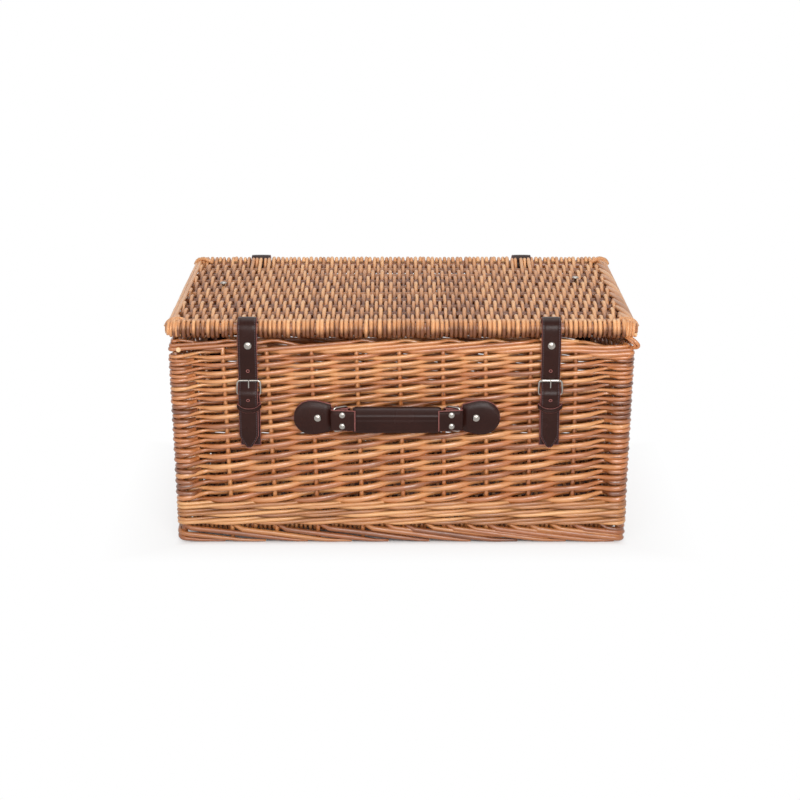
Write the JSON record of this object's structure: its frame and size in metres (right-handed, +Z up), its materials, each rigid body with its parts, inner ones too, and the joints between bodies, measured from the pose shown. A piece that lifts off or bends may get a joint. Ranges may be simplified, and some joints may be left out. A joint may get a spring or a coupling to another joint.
{
  "type": "picnic hamper",
  "caption": "Rectangular woven willow hamper with a hinged lid, buckled leather closing straps and a leather carrying handle on its front.",
  "frame": {"origin": "middle of the ground face of the whole object's box", "axes": "+X along the hamper to the right seen from the front, the front with its straps and handle faces -Y, +Z up"},
  "size_m": [0.51, 0.3728, 0.2587],
  "materials": {
    "willow": "semi-gloss peeled willow rods",
    "willow_dark": "semi-gloss thick willow sticks",
    "willow_pale": "semi-gloss pale willow rods",
    "leather": "glossy dark brown, stitched, raw pinkish-brown edges",
    "nickel": "bright nickel plate"
  },
  "bodies": {
    "basket": {"foot_border": "willow_dark", "bottom_wale": "willow_pale", "side_weave": "willow", "stakes_and_border": "willow", "corner_post_front_left": "willow_dark", "corner_post_front_right": "willow_dark", "corner_post_back_left": "willow_dark", "corner_post_back_right": "willow_dark", "base_weave": "willow", "base_stick_front": "willow_dark", "base_stick_back": "willow_dark", "hinge_band_left": "leather", "hinge_rivet_left": "nickel", "hinge_band_right": "leather", "hinge_rivet_right": "nickel", "buckle_strap_left": "leather", "buckle_rivet_left": "nickel", "keeper_left": "leather", "buckle_strap_right": "leather", "buckle_rivet_right": "nickel", "keeper_right": "leather", "handle_chape_left": "leather", "chape_rivet_left": "nickel", "handle_chape_right": "leather", "chape_rivet_right": "nickel", "stay_wall_rivet_left": "nickel", "stay_wall_rivet_right": "nickel"},
    "lid": {"lid_weave": "willow", "lid_front_rod": "willow_dark", "lid_back_rod": "willow_dark", "lid_stick_frame": "willow_pale", "lid_tie_front_left": "willow_pale", "lid_tie_front_right": "willow_pale", "lid_tie_back_left": "willow_pale", "lid_tie_back_right": "willow_pale", "stay_lid_rivet_left": "nickel", "stay_lid_rivet_right": "nickel"},
    "handle": {"handle_grip": "leather"},
    "strap_left": {"strap_loop_left": "leather", "strap_rivet_left": "nickel"},
    "strap_left_tail": {"strap_tail_left": "leather"},
    "buckle_left": {"buckle_frame_left": "nickel"},
    "prong_left": {"buckle_prong_left": "nickel"},
    "handle_end_left": {"handle_end_left": "leather", "handle_rivet_left_upper": "nickel", "handle_rivet_left_lower": "nickel"},
    "ring_left": {"handle_ring_left": "nickel"},
    "stay_left_upper": {"stay_upper_left": "leather"},
    "stay_left_lower": {"stay_lower_left": "leather"},
    "strap_right": {"strap_loop_right": "leather", "strap_rivet_right": "nickel"},
    "strap_right_tail": {"strap_tail_right": "leather"},
    "buckle_right": {"buckle_frame_right": "nickel"},
    "prong_right": {"buckle_prong_right": "nickel"},
    "handle_end_right": {"handle_end_right": "leather", "handle_rivet_right_upper": "nickel", "handle_rivet_right_lower": "nickel"},
    "ring_right": {"handle_ring_right": "nickel"},
    "stay_right_upper": {"stay_upper_right": "leather"},
    "stay_right_lower": {"stay_lower_right": "leather"}
  },
  "joints": [
    {"name": "lid_open", "type": "hinge", "parent": "basket", "child": "lid", "pos_m": [0, 0.17215, 0.246], "axis": [-1, 0, 0], "range_deg": [0, 100]},
    {"name": "handle_lift", "type": "slide", "parent": "basket", "child": "handle", "axis": [0, -0.9998, -0.0215], "range_m": [0, 0.018]},
    {"name": "strap_lift_left", "type": "hinge", "parent": "lid", "child": "strap_left", "pos_m": [-0.166, -0.16485, 0.246], "axis": [-1, 0, 0], "range_deg": [0, 110]},
    {"name": "strap_hang_left", "type": "hinge", "parent": "strap_left", "child": "strap_left_tail", "pos_m": [-0.166, -0.17635, 0.222], "axis": [-1, 0, 0], "range_deg": [-91, 1], "deforming": ["strap_tail_left"]},
    {"name": "buckle_turn_left", "type": "hinge", "parent": "basket", "child": "buckle_left", "pos_m": [-0.166, -0.17417, 0.174], "axis": [1, 0, 0], "range_deg": [0, 50]},
    {"name": "prong_turn_left", "type": "hinge", "parent": "buckle_left", "child": "prong_left", "pos_m": [-0.166, -0.17417, 0.174], "axis": [1, 0, 0], "range_deg": [0, 70]},
    {"name": "handle_bend_left", "type": "hinge", "parent": "handle", "child": "handle_end_left", "pos_m": [-0.055, -0.18132, 0.14774], "axis": [0, 0.0215, -0.9998], "range_deg": [-1, 43]},
    {"name": "ring_turn_left", "type": "hinge", "parent": "basket", "child": "ring_left", "pos_m": [-0.0595, -0.17332, 0.14791], "axis": [0, -0.0215, 0.9998], "range_deg": [-1, 27]},
    {"name": "stay_swing_left", "type": "hinge", "parent": "lid", "child": "stay_left_upper", "pos_m": [-0.209, 0.03365, 0.23593], "axis": [-1, 0, 0], "range_deg": [-58, 1], "deforming": ["stay_upper_left"]},
    {"name": "stay_fold_left", "type": "hinge", "parent": "stay_left_upper", "child": "stay_left_lower", "pos_m": [-0.209, 0.05611, 0.12214], "axis": [-1, 0, 0], "range_deg": [-1, 160], "deforming": ["stay_lower_left"]},
    {"name": "strap_lift_right", "type": "hinge", "parent": "lid", "child": "strap_right", "pos_m": [0.162, -0.16485, 0.246], "axis": [-1, 0, 0], "range_deg": [0, 110]},
    {"name": "strap_hang_right", "type": "hinge", "parent": "strap_right", "child": "strap_right_tail", "pos_m": [0.162, -0.17635, 0.222], "axis": [-1, 0, 0], "range_deg": [-91, 1], "deforming": ["strap_tail_right"]},
    {"name": "buckle_turn_right", "type": "hinge", "parent": "basket", "child": "buckle_right", "pos_m": [0.162, -0.17417, 0.174], "axis": [1, 0, 0], "range_deg": [0, 50]},
    {"name": "prong_turn_right", "type": "hinge", "parent": "buckle_right", "child": "prong_right", "pos_m": [0.162, -0.17417, 0.174], "axis": [1, 0, 0], "range_deg": [0, 70]},
    {"name": "handle_bend_right", "type": "hinge", "parent": "handle", "child": "handle_end_right", "pos_m": [0.045, -0.18132, 0.14774], "axis": [0, -0.0215, 0.9998], "range_deg": [-1, 43]},
    {"name": "ring_turn_right", "type": "hinge", "parent": "basket", "child": "ring_right", "pos_m": [0.0495, -0.17332, 0.14791], "axis": [0, 0.0215, -0.9998], "range_deg": [-1, 27]},
    {"name": "stay_swing_right", "type": "hinge", "parent": "lid", "child": "stay_right_upper", "pos_m": [0.207, 0.06365, 0.23593], "axis": [-1, 0, 0], "range_deg": [-58, 1], "deforming": ["stay_upper_right"]},
    {"name": "stay_fold_right", "type": "hinge", "parent": "stay_right_upper", "child": "stay_right_lower", "pos_m": [0.207, 0.08681, 0.14438], "axis": [-1, 0, 0], "range_deg": [-1, 160], "deforming": ["stay_lower_right"]}
  ],
  "couplings": [
    {"joint": "strap_hang_left", "follows": "lid_open", "ratio": -0.9},
    {"joint": "handle_bend_left", "follows": "handle_lift", "rad_per_m": 41.3},
    {"joint": "ring_turn_left", "follows": "handle_lift", "rad_per_m": 25.8},
    {"joint": "stay_swing_left", "follows": "lid_open", "ratio": -0.55789},
    {"joint": "stay_fold_left", "follows": "lid_open", "ratio": 1.5767},
    {"joint": "strap_hang_right", "follows": "lid_open", "ratio": -0.9},
    {"joint": "handle_bend_right", "follows": "handle_lift", "rad_per_m": 41.3},
    {"joint": "ring_turn_right", "follows": "handle_lift", "rad_per_m": 25.8},
    {"joint": "stay_swing_right", "follows": "lid_open", "ratio": -0.57475},
    {"joint": "stay_fold_right", "follows": "lid_open", "ratio": 1.5161}
  ]
}
